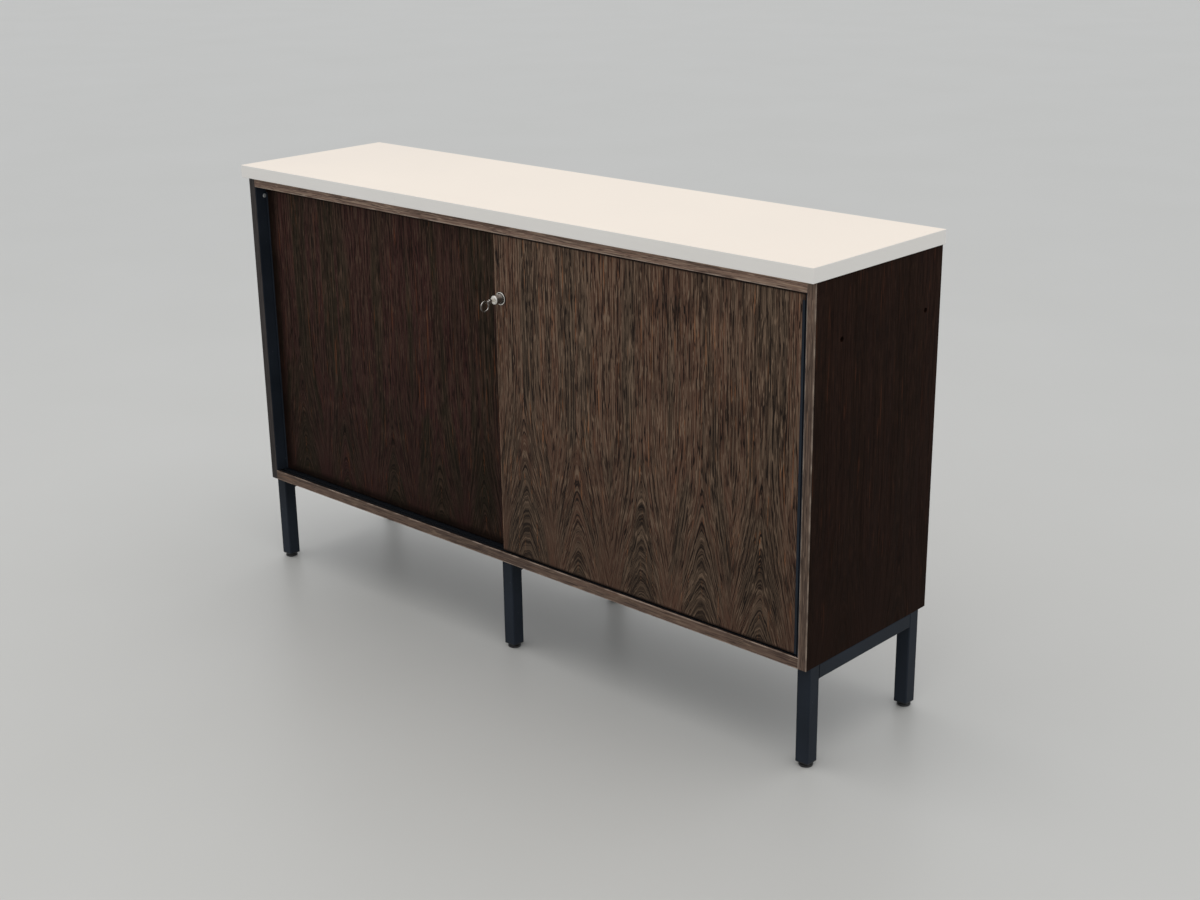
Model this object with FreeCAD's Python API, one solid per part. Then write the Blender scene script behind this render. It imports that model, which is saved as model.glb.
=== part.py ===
import FreeCAD
import Part
import os
from math import cos, radians, sin, sqrt

# Office sideboard with two sliding doors, a laminated top slab and three square-tube base frames.
# Millimetres. X runs to the right, Y to the back, Z up. The origin is on the floor under the middle.

# Top slab
slab_width = 1610.0
slab_depth = 410.0
slab_thickness = 28.0
slab_edge_radius = 1.0
slab_front_overhang = 16.0
slab_end_overhang = 5.0
slab_back_overhang = 1.0

# Carcass boards
carcass_height = 732.0
side_thickness = 19.0
board_thickness = 22.0
lipping_thickness = 2.0
back_thickness = 8.0
back_rebate = 8.0
back_inset = 4.0
partition_thickness = 19.0
partition_door_gap = 6.0

# Shelves and their pins
shelf_thickness = 19.0
shelf_height = 335.0
shelf_front_setback = 12.0
shelf_clearance = 1.0
pin_radius = 2.5
pin_depth = 8.0
pin_reach = 9.0
pin_inset = 37.0
pin_pitch = 32.0
pin_rows = 3

# Coupling holes in the right side panel
coupling_hole_radius = 5.0
coupling_hole_spacing = 264.0
coupling_hole_setback = 80.0
coupling_hole_drop = 117.0

# Doors
door_thickness = 16.0
door_setback = 6.0
door_gap = 4.0
door_overlap = 29.0
door_floor_gap = 2.5
door_top_gap = 3.0
left_door_end_gap = 5.5
right_door_end_gap = 8.0
edge_cap_width = 5.5
edge_cap_wall = 1.5
edge_cap_top_gap = 12.0

# Door tracks, gliders and guides
track_edge = 10.0
track_base = 2.0
lower_channel_depth = 4.0
lower_channel_width = 6.0
upper_channel_depth = 9.0
upper_channel_width = 7.0
glider_length = 40.0
glider_thickness = 9.0
glider_height = 12.0
glider_fin_thickness = 5.0
glider_fin_shortening = 4.0
glider_inset = 80.0
guide_body_radius = 5.0
guide_body_length = 22.0
guide_pin_radius = 3.0
guide_pin_engagement = 6.0

# Steel jamb strips on the inner faces of the side panels
jamb_thickness = 2.0
jamb_setback = 1.0
jamb_cover = 5.0
jamb_screw_drop = 23.0

# Push lock and folding key
lock_inset = 16.5
lock_drop = 156.0
rosette_radius = 13.4
rosette_thickness = 3.0
rosette_edge_radius = 1.0
rosette_rim = 1.6
rosette_dish = 1.2
sleeve_radius = 11.5
sleeve_end_wall = 2.0
barrel_radius = 9.5
barrel_reach = 21.0
barrel_depth = 2.0
barrel_nose_radius = 3.2
bolt_radius = 4.5
bolt_length = 4.0
plug_radius = 5.0
plug_length = 15.0
key_thickness = 2.2
key_height = 7.0
key_insertion = 12.0
key_shank = 9.0
bow_distance = 17.0
bow_radius = 11.5
bow_hole_radius = 9.2
bow_ring_thickness = 2.0
bow_thickness = 4.6
bow_droop = 29.0
rivet_radius = 1.0
strike_radius = 7.0
strike_wall = 1.0
strike_depth = 12.0

# Base frames and levelling feet
tube_size = 30.0
tube_wall = 2.0
tube_corner_radius = 3.0
leg_height = 199.0
front_leg_inset = 13.5
back_leg_inset = 21.0
plug_flange = 2.0
plug_insert = 22.0
foot_clearance = 9.0
foot_radius = 14.0
foot_disc = 5.0
foot_edge_radius = 1.5
foot_stud_radius = 4.0
foot_stud_engagement = 26.0
foot_nut_across = 13.0

# Dowels and screws
dowel_radius = 4.0
dowel_length = 36.0
dowel_seat = 12.0
dowel_inset = 60.0
screw_radius = 2.0
screw_head_radius = 4.0
screw_head_height = 2.2
slab_screw_grip = 18.0
back_screw_grip = 22.0
jamb_screw_grip = 14.0
jamb_screw_head_radius = 4.8
jamb_screw_head_edge = 1.6
screw_inset = 110.0
bolt_shank_radius = 2.5
bolt_head_radius = 5.0
bolt_head_height = 3.5
bolt_inset = 45.0
side_bolt_grip = 40.0
middle_bolt_grip = 15.0

# Clearances
seat_gap = 0.1
running_gap = 0.2
turning_gap = 0.06
drill_overrun = 0.5

# Places worked out from the sizes above
base_z = foot_clearance + leg_height
carcass_top = base_z + carcass_height
floor_z = base_z + board_thickness
ceiling_z = carcass_top - board_thickness
outer_half = slab_width / 2 - slab_end_overhang
inner_half = outer_half - side_thickness

bow_lead = bow_distance * cos(radians(bow_droop)) + bow_radius
key_reach = barrel_reach + key_shank + bow_lead
slab_back = slab_depth - slab_front_overhang
carcass_depth = slab_back - slab_back_overhang
carcass_front = (key_reach - door_setback - slab_back) / 2
carcass_back = carcass_front + carcass_depth
board_front = carcass_front + lipping_thickness
board_back = carcass_back - back_thickness

front_door_y = carcass_front + door_setback
rear_door_y = front_door_y + door_thickness + door_gap
rear_door_back = rear_door_y + door_thickness
door_bottom = floor_z + door_floor_gap
door_top = ceiling_z - door_top_gap
left_door_x = (-inner_half + left_door_end_gap, door_overlap)
right_door_x = (0.0, inner_half - right_door_end_gap)

track_front = front_door_y + door_thickness / 2 - track_edge
track_back = rear_door_y + door_thickness / 2 + track_edge
lower_track_z = floor_z - lower_channel_depth - track_base
upper_track_z = ceiling_z + upper_channel_depth + track_base

jamb_front = carcass_front + jamb_setback
jamb_back = rear_door_back + jamb_cover
partition_front = rear_door_back + partition_door_gap
shelf_front = partition_front + shelf_front_setback
shelf_back = board_back - shelf_clearance
shelf_z = floor_z + shelf_height

lock_x = right_door_x[0] + lock_inset
lock_z = carcass_top - lock_drop
barrel_nose_y = front_door_y - barrel_reach
hinge_y = barrel_nose_y - key_shank

X_AXIS = FreeCAD.Vector(1, 0, 0)
Y_AXIS = FreeCAD.Vector(0, 1, 0)
Z_AXIS = FreeCAD.Vector(0, 0, 1)


def point(x, y, z):
    return FreeCAD.Vector(x, y, z)


def box(x_span, y_span, z_span):
    corner = point(x_span[0], y_span[0], z_span[0])
    return Part.makeBox(x_span[1] - x_span[0], y_span[1] - y_span[0], z_span[1] - z_span[0], corner)


def around(centre, width):
    return (centre - width / 2, centre + width / 2)


def rounded_box(x_span, y_span, z_span, axis, radius):
    solid = box(x_span, y_span, z_span)
    edges = [edge for edge in solid.Edges if abs(edge.tangentAt(edge.FirstParameter).dot(axis)) > 0.9]
    return solid.makeFillet(radius, edges)


def round_edges(solid):
    return [edge for edge in solid.Edges if len(edge.Vertexes) == 1]


def save(name, *solids):
    shape = solids[0] if len(solids) == 1 else Part.makeCompound(list(solids))
    shape.exportStep("parts/" + name + ".step")


def spread(start, end, count):
    step = (end - start) / (count - 1)
    return [start + step * index for index in range(count)]


# Dowels: each seat is the blind end of its hole and the direction towards the mating board.
def dowel_seats():
    seats = []
    for y in spread(board_front + dowel_inset, board_back - dowel_inset, 3):
        for z in (base_z + board_thickness / 2, carcass_top - board_thickness / 2):
            seats.append((point(inner_half + dowel_seat, y, z), X_AXIS * -1))
            seats.append((point(-inner_half - dowel_seat, y, z), X_AXIS))
    for y in spread(partition_front + dowel_inset, board_back - dowel_inset, 3):
        seats.append((point(0, y, floor_z - dowel_seat), Z_AXIS))
        seats.append((point(0, y, ceiling_z + dowel_seat), Z_AXIS * -1))
    return seats


def dowels():
    return [Part.makeCylinder(dowel_radius, dowel_length, start, way) for start, way in dowel_seats()]


def dowel_holes():
    radius = dowel_radius + seat_gap
    length = dowel_length + 2 * drill_overrun
    seats = dowel_seats()
    return [Part.makeCylinder(radius, length, start - way * drill_overrun, way) for start, way in seats]


# Countersunk screw driven from its head's face along a direction, or its hole when given a gap.
def screw(head, way, length, gap=0.0):
    cone = Part.makeCone(screw_head_radius + gap, screw_radius + gap, screw_head_height, head, way)
    shank_length = length - screw_head_height + 5 * gap
    shank = Part.makeCylinder(screw_radius + gap, shank_length, head + way * screw_head_height, way)
    return cone.fuse(shank).removeSplitter()


def slab_screws(gap=0.0):
    length = board_thickness + slab_screw_grip
    places = []
    for x in spread(-inner_half + screw_inset, inner_half - screw_inset, 4):
        for y in (track_back + screw_inset / 2, board_back - screw_inset / 2):
            places.append(point(x, y, ceiling_z))
    return [screw(place, Z_AXIS, length, gap) for place in places]


def back_screws(gap=0.0):
    length = back_thickness + back_screw_grip
    places = []
    for x in spread(-inner_half + screw_inset / 2, inner_half - screw_inset / 2, 4):
        for z in (base_z + board_thickness / 2, carcass_top - board_thickness / 2):
            places.append(point(x, carcass_back, z))
    for z in (floor_z + screw_inset, ceiling_z - screw_inset):
        places.append(point(0, carcass_back, z))
    return [screw(place, Y_AXIS * -1, length, gap) for place in places]


# Round-headed screw that holds a jamb strip to its side panel near the top.
def jamb_screw(side, gap=0.0):
    y = (jamb_front + jamb_back) / 2
    seat = point(side * (inner_half - jamb_thickness), y, ceiling_z - jamb_screw_drop)
    way = X_AXIS * side
    length = jamb_thickness + jamb_screw_grip
    shank = Part.makeCylinder(screw_radius + gap, length + 5 * gap, seat, way)
    if gap:
        return shank
    head = Part.makeCylinder(jamb_screw_head_radius, screw_head_height, seat, way * -1)
    rims = [edge for edge in round_edges(head) if abs(edge.CenterOfMass.x) < abs(seat.x) - running_gap]
    return head.makeFillet(jamb_screw_head_edge, rims).fuse(shank).removeSplitter()


# Shelf pins: a point on the carrying face and the direction out of it.
def pin_places(levels):
    places = []
    for side in (-1, 1):
        for x, way in ((side * inner_half, -side), (side * partition_thickness / 2, side)):
            for y in (shelf_front + pin_inset, shelf_back - pin_inset):
                for level in levels:
                    places.append((point(x, y, shelf_z - pin_radius - seat_gap + level), X_AXIS * way))
    return places


def shelf_pins():
    length = pin_depth + pin_reach
    places = pin_places([0])
    return [Part.makeCylinder(pin_radius, length, place - way * pin_depth, way) for place, way in places]


def pin_holes():
    levels = [pin_pitch * (row - (pin_rows - 1) / 2) for row in range(pin_rows)]
    depth = pin_depth + drill_overrun
    radius = pin_radius + seat_gap
    places = pin_places(levels)
    return [Part.makeCylinder(radius, depth, place - way * depth, way) for place, way in places]


# Frame bolts run up through a rail into the edge of a side panel, or into the bottom board.
def frame_bolts(gap=0.0):
    bolts = []
    for x, grip in ((-outer_half + side_thickness / 2, side_bolt_grip), (0.0, middle_bolt_grip),
                    (outer_half - side_thickness / 2, side_bolt_grip)):
        for y in (rail_span[0] + bolt_inset, rail_span[1] - bolt_inset):
            head = point(x, y, base_z - tube_size)
            shank = Part.makeCylinder(bolt_shank_radius + gap, tube_size + grip + 5 * gap, head, Z_AXIS)
            if gap:
                bolts.append(shank)
            else:
                knob = Part.makeCylinder(bolt_head_radius, bolt_head_height, head, Z_AXIS * -1)
                bolts.append(shank.fuse(knob).removeSplitter())
    return bolts


front_leg_y = carcass_front + front_leg_inset
back_leg_y = carcass_back - back_leg_inset - tube_size
rail_span = (front_leg_y + tube_size, back_leg_y)
frame_x = {"left": -outer_half + tube_size / 2, "middle": 0.0, "right": outer_half - tube_size / 2}


# Top slab, screwed down through the top board.
def top_slab():
    solid = box(around(0, slab_width), (carcass_front - slab_front_overhang, carcass_front + slab_back),
                (carcass_top, carcass_top + slab_thickness))
    return solid.makeFillet(slab_edge_radius, solid.Edges).cut(slab_screws(seat_gap))


# Side panels run the full height and are rebated at the back for the back panel.
def side_panel(side):
    x_span = sorted((side * inner_half, side * outer_half))
    solid = box(x_span, (board_front, carcass_back), (base_z, carcass_top))
    rebate_x = sorted((side * inner_half, side * (inner_half + back_rebate + seat_gap)))
    rebate = box(rebate_x, (board_back, carcass_back), (base_z, carcass_top))
    tools = [rebate, jamb_screw(side, seat_gap)] + dowel_holes() + pin_holes() + frame_bolts(seat_gap)
    if side > 0:
        tools += coupling_holes()
    return solid.cut(tools)


def coupling_holes():
    z = carcass_top - coupling_hole_drop
    first_y = carcass_front + coupling_hole_setback
    places = [point(inner_half, y, z) for y in (first_y, first_y + coupling_hole_spacing)]
    return [Part.makeCylinder(coupling_hole_radius, side_thickness, place, X_AXIS) for place in places]


# Top and bottom boards lie between the sides and carry the door tracks in a groove near the front.
def bottom_board():
    solid = box((-inner_half, inner_half), (board_front, board_back), (base_z, floor_z))
    groove = box((-inner_half, inner_half), (track_front, track_back), (lower_track_z, floor_z))
    return solid.cut([groove] + dowel_holes() + frame_bolts(seat_gap) + back_screws(seat_gap))


def top_board():
    solid = box((-inner_half, inner_half), (board_front, board_back), (ceiling_z, carcass_top))
    groove = box((-inner_half, inner_half), (track_front, track_back), (ceiling_z, upper_track_z))
    return solid.cut([groove] + dowel_holes() + slab_screws(seat_gap) + back_screws(seat_gap))


def back_panel():
    half = inner_half + back_rebate
    solid = box((-half, half), (board_back, carcass_back), (base_z + back_inset, carcass_top - back_inset))
    return solid.cut(back_screws(seat_gap))


def centre_partition():
    solid = box(around(0, partition_thickness), (partition_front, board_back), (floor_z, ceiling_z))
    return solid.cut(dowel_holes() + pin_holes() + back_screws(seat_gap))


def shelf(side):
    inner_end = partition_thickness / 2 + shelf_clearance
    outer_end = inner_half - shelf_clearance
    x_span = sorted((side * inner_end, side * outer_end))
    return box(x_span, (shelf_front, shelf_back), (shelf_z, shelf_z + shelf_thickness))


# Solid lippings on the front edges of the carcass.
def side_lipping(side):
    x_span = sorted((side * inner_half, side * outer_half))
    return box(x_span, (carcass_front, board_front), (base_z, carcass_top))


def board_lipping(z):
    return box((-inner_half, inner_half), (carcass_front, board_front), (z, z + board_thickness))


# Double tracks: the front channel serves the right door, the rear channel the left door.
def channels(width, z_span):
    centres = (front_door_y + door_thickness / 2, rear_door_y + door_thickness / 2)
    return [box((-inner_half, inner_half), around(y, width), z_span) for y in centres]


def lower_track():
    solid = box((-inner_half, inner_half), (track_front, track_back), (lower_track_z, floor_z))
    return solid.cut(channels(lower_channel_width, (lower_track_z + track_base, floor_z)))


def upper_track():
    solid = box((-inner_half, inner_half), (track_front, track_back), (ceiling_z, upper_track_z))
    return solid.cut(channels(upper_channel_width, (ceiling_z, upper_track_z - track_base)))


def jamb_strip(side):
    x_span = sorted((side * inner_half, side * (inner_half - jamb_thickness)))
    solid = box(x_span, (jamb_front, jamb_back), (floor_z, ceiling_z))
    return solid.cut(jamb_screw(side, seat_gap))


# One sliding door: panel, steel cap on its outer edge, gliders below and guide pins above.
def door_edge_cap(x_span, y, outer_end):
    wide = sorted((x_span[outer_end], x_span[outer_end] + edge_cap_width * (1 - 2 * outer_end)))
    z_span = (door_bottom, door_top - edge_cap_top_gap)
    tongue = list(wide)
    tongue[outer_end] += edge_cap_wall * (1 - 2 * outer_end)
    tongue_y = (y + edge_cap_wall, y + door_thickness - edge_cap_wall)
    return box(wide, (y, y + door_thickness), z_span).cut(box(tongue, tongue_y, z_span))


def door_fittings_x(x_span):
    return (x_span[0] + glider_inset, x_span[1] - glider_inset)


def door_gliders(x_span, y, gap=0.0):
    middle = y + door_thickness / 2
    gliders = []
    for x in door_fittings_x(x_span):
        body = box(around(x, glider_length + 2 * gap), around(middle, glider_thickness + 2 * gap),
                   (door_bottom, door_bottom + glider_height + gap))
        if not gap:
            fin_z = (lower_track_z + track_base + running_gap, door_bottom)
            fin_x = around(x, glider_length - glider_fin_shortening)
            body = body.fuse(box(fin_x, around(middle, glider_fin_thickness), fin_z))
        gliders.append(body.removeSplitter())
    return gliders


def door_guides(x_span, y, gap=0.0):
    middle = y + door_thickness / 2
    guides = []
    for x in door_fittings_x(x_span):
        foot = point(x, middle, door_top - guide_body_length - gap)
        body = Part.makeCylinder(guide_body_radius + gap, guide_body_length + gap, foot, Z_AXIS)
        if not gap:
            reach = door_top_gap + guide_pin_engagement
            body = body.fuse(Part.makeCylinder(guide_pin_radius, reach, point(x, middle, door_top), Z_AXIS))
        guides.append(body)
    return guides


def door_panel(x_span, y, outer_end, lock_hole):
    solid = box(x_span, (y, y + door_thickness), (door_bottom, door_top))
    tools = [door_edge_cap(x_span, y, outer_end), lock_hole]
    return solid.cut(tools + door_gliders(x_span, y, seat_gap) + door_guides(x_span, y, seat_gap))


# Lock on the right door. Round pieces share the axis through the lock's centre along Y.
def lock_rod(radius, start_y, length):
    return Part.makeCylinder(radius, length, point(lock_x, start_y, lock_z), Y_AXIS)


def lock_sleeve():
    rosette = lock_rod(rosette_radius, front_door_y - rosette_thickness, rosette_thickness)
    face_y = front_door_y - rosette_thickness
    rims = [edge for edge in round_edges(rosette) if edge.CenterOfMass.y < face_y + running_gap]
    solid = rosette.makeFillet(rosette_edge_radius, rims)
    solid = solid.cut(lock_rod(rosette_radius - rosette_rim, face_y, rosette_dish))
    solid = solid.fuse(lock_rod(sleeve_radius, front_door_y, door_thickness)).removeSplitter()
    bore_length = rosette_thickness + door_thickness - sleeve_end_wall
    bore = lock_rod(barrel_radius + running_gap, front_door_y - rosette_thickness, bore_length)
    bolt_hole = lock_rod(bolt_radius + running_gap, front_door_y, door_thickness)
    return solid.cut([bore, bolt_hole])


def lock_barrel():
    body = lock_rod(barrel_radius, barrel_nose_y, barrel_reach + barrel_depth)
    rims = [edge for edge in round_edges(body) if edge.CenterOfMass.y < barrel_nose_y + running_gap]
    body = body.makeFillet(barrel_nose_radius, rims)
    body = body.fuse(lock_rod(bolt_radius, front_door_y + barrel_depth, bolt_length))
    return body.cut(lock_rod(plug_radius + turning_gap, barrel_nose_y, plug_length + drill_overrun))


def lock_plug():
    slot = box(around(lock_x, key_thickness + 2 * turning_gap),
               (barrel_nose_y, barrel_nose_y + key_insertion + drill_overrun),
               around(lock_z, key_height + 2 * turning_gap))
    return lock_rod(plug_radius, barrel_nose_y, plug_length).cut(slot)


def hinge_rod(radius, length):
    return Part.makeCylinder(radius, length, point(lock_x - length / 2, hinge_y, lock_z), X_AXIS)


def key_blade():
    length = (hinge_y, barrel_nose_y + key_insertion)
    plate = box(around(lock_x, key_thickness), length, around(lock_z, key_height))
    plate = plate.fuse(hinge_rod(key_height / 2, key_thickness)).removeSplitter()
    return plate.cut(hinge_rod(rivet_radius + turning_gap / 2, bow_thickness))


# The folding bow is a ring with two ears beside the shank, drooping about its rivet.
def key_bow():
    centre_y = hinge_y - bow_distance
    start = point(lock_x - bow_thickness / 2, centre_y, lock_z)
    ring_start = point(lock_x - bow_ring_thickness / 2, centre_y, lock_z)
    ring = Part.makeCylinder(bow_radius, bow_ring_thickness, ring_start, X_AXIS)
    neck_end = centre_y + sqrt(bow_radius ** 2 - (key_height / 2) ** 2)
    neck_y = (neck_end - key_height / 2, hinge_y)
    neck = box(around(lock_x, bow_thickness), neck_y, around(lock_z, key_height))
    solid = ring.fuse([neck, hinge_rod(key_height / 2, bow_thickness)]).removeSplitter()
    hole = Part.makeCylinder(bow_hole_radius, bow_thickness, start, X_AXIS)
    slot_depth = key_height / 2 + 2 * running_gap
    slot = box(around(lock_x, key_thickness + 2 * running_gap), (hinge_y - slot_depth, hinge_y + key_height),
               around(lock_z, key_height + 2 * running_gap))
    solid = solid.cut([hole, slot, hinge_rod(rivet_radius + turning_gap, bow_thickness)])
    solid.rotate(point(lock_x, hinge_y, lock_z), X_AXIS, bow_droop)
    return solid


def strike_bush():
    return lock_rod(strike_radius, rear_door_y, strike_depth).cut(
        lock_rod(strike_radius - strike_wall, rear_door_y, strike_depth))


# Square tubes of the base frames, with the rail set between the two legs.
def square_tube(x, y_span, z_span, axis):
    inner_y = y_span
    inner_z = z_span
    if axis == Z_AXIS:
        inner_y = (y_span[0] + tube_wall, y_span[1] - tube_wall)
    else:
        inner_z = (z_span[0] + tube_wall, z_span[1] - tube_wall)
    outer = rounded_box(around(x, tube_size), y_span, z_span, axis, tube_corner_radius)
    bore_radius = tube_corner_radius - tube_wall
    bore = rounded_box(around(x, tube_size - 2 * tube_wall), inner_y, inner_z, axis, bore_radius)
    return outer.cut(bore)


def leg(x, y):
    return square_tube(x, (y, y + tube_size), (foot_clearance + plug_flange, base_z), Z_AXIS)


def rail(x):
    return square_tube(x, rail_span, (base_z - tube_size, base_z), Y_AXIS).cut(frame_bolts(seat_gap))


def leg_plug(x, y):
    flange_z = (foot_clearance, foot_clearance + plug_flange)
    flange = rounded_box(around(x, tube_size), (y, y + tube_size), flange_z, Z_AXIS, tube_corner_radius)
    width = tube_size - 2 * tube_wall - 2 * seat_gap
    middle_y = y + tube_size / 2
    insert_z = (flange_z[1], flange_z[1] + plug_insert)
    insert_radius = tube_corner_radius - tube_wall
    insert = rounded_box(around(x, width), around(middle_y, width), insert_z, Z_AXIS, insert_radius)
    bore = Part.makeCylinder(foot_stud_radius + running_gap, plug_flange + plug_insert,
                             point(x, middle_y, foot_clearance), Z_AXIS)
    return flange.fuse(insert).removeSplitter().cut(bore)


# Levelling foot: a round glide on a stud with a nut face under the leg.
def levelling_foot(x, y):
    middle_y = y + tube_size / 2
    disc = Part.makeCylinder(foot_radius, foot_disc, point(x, middle_y, 0), Z_AXIS)
    disc = disc.makeFillet(foot_edge_radius, round_edges(disc))
    stud = Part.makeCylinder(foot_stud_radius, foot_clearance + foot_stud_engagement - foot_disc,
                             point(x, middle_y, foot_disc), Z_AXIS)
    corners = []
    for turn in range(7):
        angle = radians(60 * turn)
        reach = foot_nut_across / sqrt(3)
        corners.append(point(x + reach * cos(angle), middle_y + reach * sin(angle), foot_disc))
    nut = Part.Face(Part.makePolygon(corners)).extrude(Z_AXIS * (foot_clearance - foot_disc - running_gap))
    return disc.fuse([nut, stud]).removeSplitter()


os.makedirs("parts", exist_ok=True)

save("top_slab", top_slab())
save("top_board", top_board())
save("bottom_board", bottom_board())
save("back_panel", back_panel())
save("centre_partition", centre_partition())
save("top_lipping", board_lipping(ceiling_z))
save("bottom_lipping", board_lipping(base_z))
save("upper_track", upper_track())
save("lower_track", lower_track())
for name, side in (("left", -1), ("right", 1)):
    save(name + "_side_panel", side_panel(side))
    save(name + "_side_lipping", side_lipping(side))
    save(name + "_jamb_strip", jamb_strip(side))
    save(name + "_shelf", shelf(side))
save("shelf_pins", *shelf_pins())
save("carcass_dowels", *dowels())
save("slab_screws", *slab_screws())
save("back_screws", *back_screws())
save("jamb_screws", jamb_screw(-1), jamb_screw(1))
save("frame_bolts", *frame_bolts())

strike_hole = lock_rod(strike_radius + seat_gap, rear_door_y, strike_depth + drill_overrun)
sleeve_hole = lock_rod(sleeve_radius + seat_gap, front_door_y, door_thickness)
for name, x_span, y, outer_end, lock_hole in (("left", left_door_x, rear_door_y, 0, strike_hole),
                                              ("right", right_door_x, front_door_y, 1, sleeve_hole)):
    save(name + "_door_panel", door_panel(x_span, y, outer_end, lock_hole))
    save(name + "_door_edge_cap", door_edge_cap(x_span, y, outer_end))
    save(name + "_door_gliders", *door_gliders(x_span, y))
    save(name + "_door_guides", *door_guides(x_span, y))
save("strike_bush", strike_bush())
save("lock_sleeve", lock_sleeve())
save("lock_barrel", lock_barrel())
save("lock_plug", lock_plug())
save("key_blade", key_blade())
save("key_rivet", hinge_rod(rivet_radius, bow_thickness))
save("key_bow", key_bow())

plugs = []
for name, x in frame_x.items():
    save(name + "_rail", rail(x))
    for end, y in (("front", front_leg_y), ("back", back_leg_y)):
        save(name + "_" + end + "_leg", leg(x, y))
        save(name + "_" + end + "_foot", levelling_foot(x, y))
        plugs.append(leg_plug(x, y))
save("leg_plugs", *plugs)
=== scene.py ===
import math

import bpy
from mathutils import Matrix, Vector


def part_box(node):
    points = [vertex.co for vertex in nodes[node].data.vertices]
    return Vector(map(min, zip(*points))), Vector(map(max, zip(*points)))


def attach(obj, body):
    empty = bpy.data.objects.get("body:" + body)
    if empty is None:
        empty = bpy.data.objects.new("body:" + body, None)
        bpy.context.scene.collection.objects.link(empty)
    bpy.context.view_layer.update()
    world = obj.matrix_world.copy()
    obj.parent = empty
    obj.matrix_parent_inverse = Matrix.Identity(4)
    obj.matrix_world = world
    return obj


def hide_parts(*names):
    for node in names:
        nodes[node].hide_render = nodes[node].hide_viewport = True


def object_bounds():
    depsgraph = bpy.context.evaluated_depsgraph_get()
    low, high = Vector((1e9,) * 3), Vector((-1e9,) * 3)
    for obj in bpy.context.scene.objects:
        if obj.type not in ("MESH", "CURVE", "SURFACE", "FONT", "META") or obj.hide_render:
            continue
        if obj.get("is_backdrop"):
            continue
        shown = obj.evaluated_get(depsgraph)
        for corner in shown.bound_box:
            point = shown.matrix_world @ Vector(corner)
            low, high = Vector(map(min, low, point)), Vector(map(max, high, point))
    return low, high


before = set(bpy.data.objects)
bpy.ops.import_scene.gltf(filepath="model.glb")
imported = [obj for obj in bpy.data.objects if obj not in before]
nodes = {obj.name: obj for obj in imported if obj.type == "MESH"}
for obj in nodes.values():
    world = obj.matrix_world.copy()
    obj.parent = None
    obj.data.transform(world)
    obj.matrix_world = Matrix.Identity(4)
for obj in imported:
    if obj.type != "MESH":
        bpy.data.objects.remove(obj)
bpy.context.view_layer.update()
bpy.ops.object.select_all(action="DESELECT")


# Studio: a camera where the photograph was taken from, a plain pale floor and soft light.
# A large lamp overhead gives the top its brightness, and the pale surroundings light the upright faces.
CAMERA_PLACE = (2.5140, -2.5373, 1.6464)
CAMERA_TURN_DEG = (70.9241, 0.7676, 42.9641)
SENSOR_WIDTH_MM, LENS_MM = 36.0, 52.517
LIGHT_AT_HORIZON, LIGHT_OVERHEAD = 0.7, 1.04
LAMP_PLACE = (0.3, -0.5, 3.4)
LAMP_WIDTH, LAMP_DEPTH, LAMP_WATTS = 4.2, 3.0, 20.0
FLOOR_SIZE, FLOOR_CLOUDS_PER_M = 60.0, 1.4
COLOUR_MIX = {"data_type": "RGBA"}


def colour(hex_value):
    parts = [int(hex_value[i:i + 2], 16) / 255 for i in (1, 3, 5)]
    return [*(c / 12.92 if c <= 0.04045 else ((c + 0.055) / 1.055) ** 2.4 for c in parts), 1.0]


def add_node(tree, kind, settings=None, inputs=None):
    made = tree.nodes.new("ShaderNode" + kind)
    for name, value in (settings or {}).items():
        setattr(made, name, value)
    for socket, value in (inputs or {}).items():
        if isinstance(value, bpy.types.NodeSocket):
            tree.links.new(value, made.inputs[socket])
        else:
            made.inputs[socket].default_value = value
    return made.outputs


def new_material(name):
    material = bpy.data.materials.new(name)
    material.use_nodes = True
    return material, material.node_tree, material.node_tree.nodes["Principled BSDF"]


bpy.ops.object.camera_add(location=CAMERA_PLACE,
                          rotation=[math.radians(turn) for turn in CAMERA_TURN_DEG])
camera = bpy.context.object
camera.data.sensor_width = SENSOR_WIDTH_MM
camera.data.lens = LENS_MM
bpy.context.scene.camera = camera
bpy.context.scene.view_settings.view_transform = "Standard"

world = bpy.data.worlds.new("pale_surroundings")
world.use_nodes = True
tree = world.node_tree
sky = tree.nodes["Background"]
sky.inputs["Color"].default_value = colour("#f4f6f8")
upwards = add_node(tree, "SeparateXYZ", None, {0: add_node(tree, "TexCoord")["Generated"]})["Z"]
ceiling = add_node(tree, "MapRange", None, {0: upwards, 3: LIGHT_AT_HORIZON, 4: LIGHT_OVERHEAD})[0]
tree.links.new(ceiling, sky.inputs["Strength"])
bpy.context.scene.world = world

bpy.ops.object.light_add(type="AREA", location=LAMP_PLACE)
overhead = bpy.context.object
overhead.data.shape = "RECTANGLE"
overhead.data.size = LAMP_WIDTH
overhead.data.size_y = LAMP_DEPTH
overhead.data.energy = LAMP_WATTS
overhead.data.color = colour("#fff8f0")[:3]

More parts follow.
